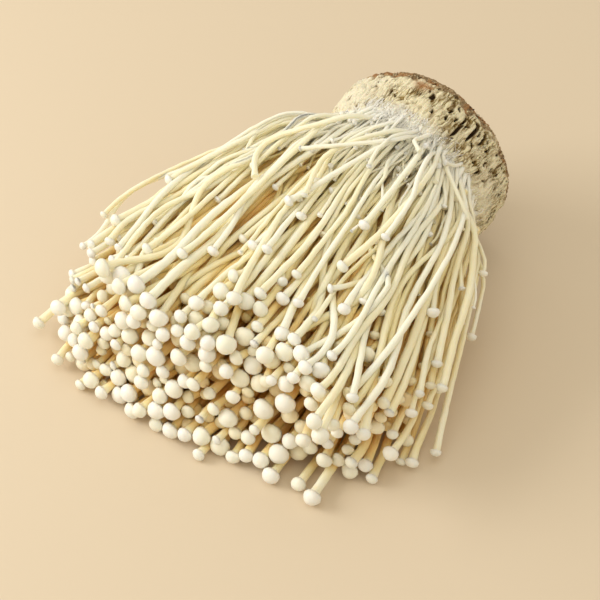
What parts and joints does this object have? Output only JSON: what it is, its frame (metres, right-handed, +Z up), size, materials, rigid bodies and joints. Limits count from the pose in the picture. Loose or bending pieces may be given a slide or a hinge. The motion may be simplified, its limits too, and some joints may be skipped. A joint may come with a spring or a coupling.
{
  "type": "enoki mushroom bunch",
  "caption": "Bunch of enoki mushrooms lying on its side: a felted root plug, thin pale stems fanning out from it, and small round caps.",
  "frame": {"origin": "on the surface the bunch lies on, below the middle of its bounding box", "axes": "+Z up, +Y along the bunch from the caps to the cut end of the root plug, +X across the fan of caps"},
  "size_m": [0.1316, 0.1346, 0.0622],
  "materials": {
    "enoki_flesh": "matte, slightly translucent ivory mushroom flesh",
    "root_felt": "rough tan felt of stem feet and growing medium"
  },
  "bodies": {
    "root": {"clump_A1": "enoki_flesh", "clump_A2": "enoki_flesh", "clump_A3": "enoki_flesh", "clump_B1": "enoki_flesh", "clump_B2": "enoki_flesh", "clump_B3": "enoki_flesh", "clump_B4": "enoki_flesh", "clump_B5": "enoki_flesh", "clump_C1": "enoki_flesh", "clump_C2": "enoki_flesh", "clump_C3": "enoki_flesh", "clump_C4": "enoki_flesh", "clump_C5": "enoki_flesh", "clump_D1": "enoki_flesh", "clump_D2": "enoki_flesh", "clump_D3": "enoki_flesh", "clump_D4": "enoki_flesh", "clump_D5": "enoki_flesh", "clump_D6": "enoki_flesh", "clump_E1": "enoki_flesh", "clump_E2": "enoki_flesh", "clump_E3": "enoki_flesh", "clump_E4": "enoki_flesh", "clump_E5": "enoki_flesh", "clump_E6": "enoki_flesh", "clump_F1": "enoki_flesh", "clump_F2": "enoki_flesh", "clump_F3": "enoki_flesh", "clump_F4": "enoki_flesh", "clump_F5": "enoki_flesh", "clump_F6": "enoki_flesh", "clump_G1": "enoki_flesh", "clump_G2": "enoki_flesh", "clump_G3": "enoki_flesh", "clump_G4": "enoki_flesh", "clump_G5": "enoki_flesh", "clump_H1": "enoki_flesh", "clump_H2": "enoki_flesh", "clump_H3": "enoki_flesh", "clump_H4": "enoki_flesh", "clump_H5": "enoki_flesh", "clump_I1": "enoki_flesh", "clump_I2": "enoki_flesh", "clump_I3": "enoki_flesh", "root_plug": "root_felt", "short_top_1": "enoki_flesh", "short_top_2": "enoki_flesh", "short_top_3": "enoki_flesh", "short_top_4": "enoki_flesh", "short_top_5": "enoki_flesh", "stray_left": "enoki_flesh", "stray_left_high": "enoki_flesh", "stray_left_short": "enoki_flesh", "stray_right_long": "enoki_flesh", "stray_right_low": "enoki_flesh", "stray_right_short": "enoki_flesh"}
  },
  "joints": []
}
